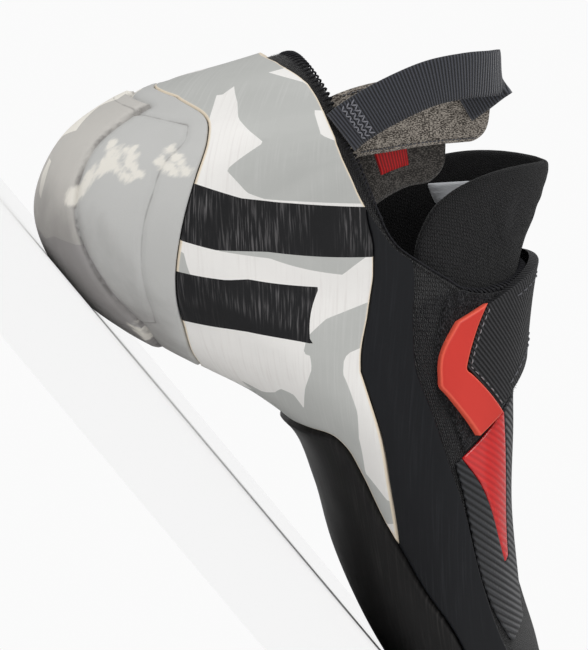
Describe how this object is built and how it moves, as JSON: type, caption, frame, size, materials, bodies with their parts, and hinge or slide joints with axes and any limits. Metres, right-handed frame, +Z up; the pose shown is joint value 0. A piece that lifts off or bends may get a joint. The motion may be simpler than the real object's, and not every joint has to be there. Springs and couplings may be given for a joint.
{
  "type": "climbing shoe",
  "caption": "Down-turned climbing shoe for the right foot with a moulded heel, wrapped heel band, stretch collar, tongue and one hook-and-loop strap, empty.",
  "frame": {"origin": "centre of the flat spot under the heel, on the floor", "axes": "+X from heel to toe, +Y to the inner side of the foot, +Z up"},
  "size_m": [0.2504, 0.0931, 0.1306],
  "materials": {
    "knit": "black elastic knit over a synthetic layer, matt",
    "tongue_knit": "black padded stretch knit, matt",
    "footbed": "dark grey microfibre footbed",
    "sole_rubber": "smooth black climbing rubber, faintly brushed",
    "heel_rubber": "light grey moulded rubber with whitish scuffs",
    "camo_rubber": "white and grey patched rubber with black bars, brushed",
    "rand_rubber": "bluish black smooth rubber",
    "loop_pile": "black fuzzy landing patch of the strap",
    "red_film": "glossy red welded film with fine ridges",
    "ribbed_film": "black welded film with slanted ribs",
    "strap_cover": "black strap cover with slanted ribs",
    "red_grip": "red moulded grip at the strap's free end",
    "webbing": "black ribbed webbing",
    "grey_felt": "heather grey felt-like microfibre",
    "dark_felt": "darker felt lining flap with a red ribbon"
  },
  "bodies": {
    "root": {"upper": "knit", "tongue": "tongue_knit", "insole": "footbed", "outsole": "sole_rubber", "heel_cup": "heel_rubber", "heel_band": "camo_rubber", "side_rand": "rand_rubber", "loop_patch": "loop_pile", "red_overlay": "red_film", "ribbed_overlay": "ribbed_film", "strap": "strap_cover", "strap_tip": "red_grip", "pull_loop": "webbing", "heel_tab": "grey_felt", "lining_tab": "dark_felt"}
  },
  "joints": []
}
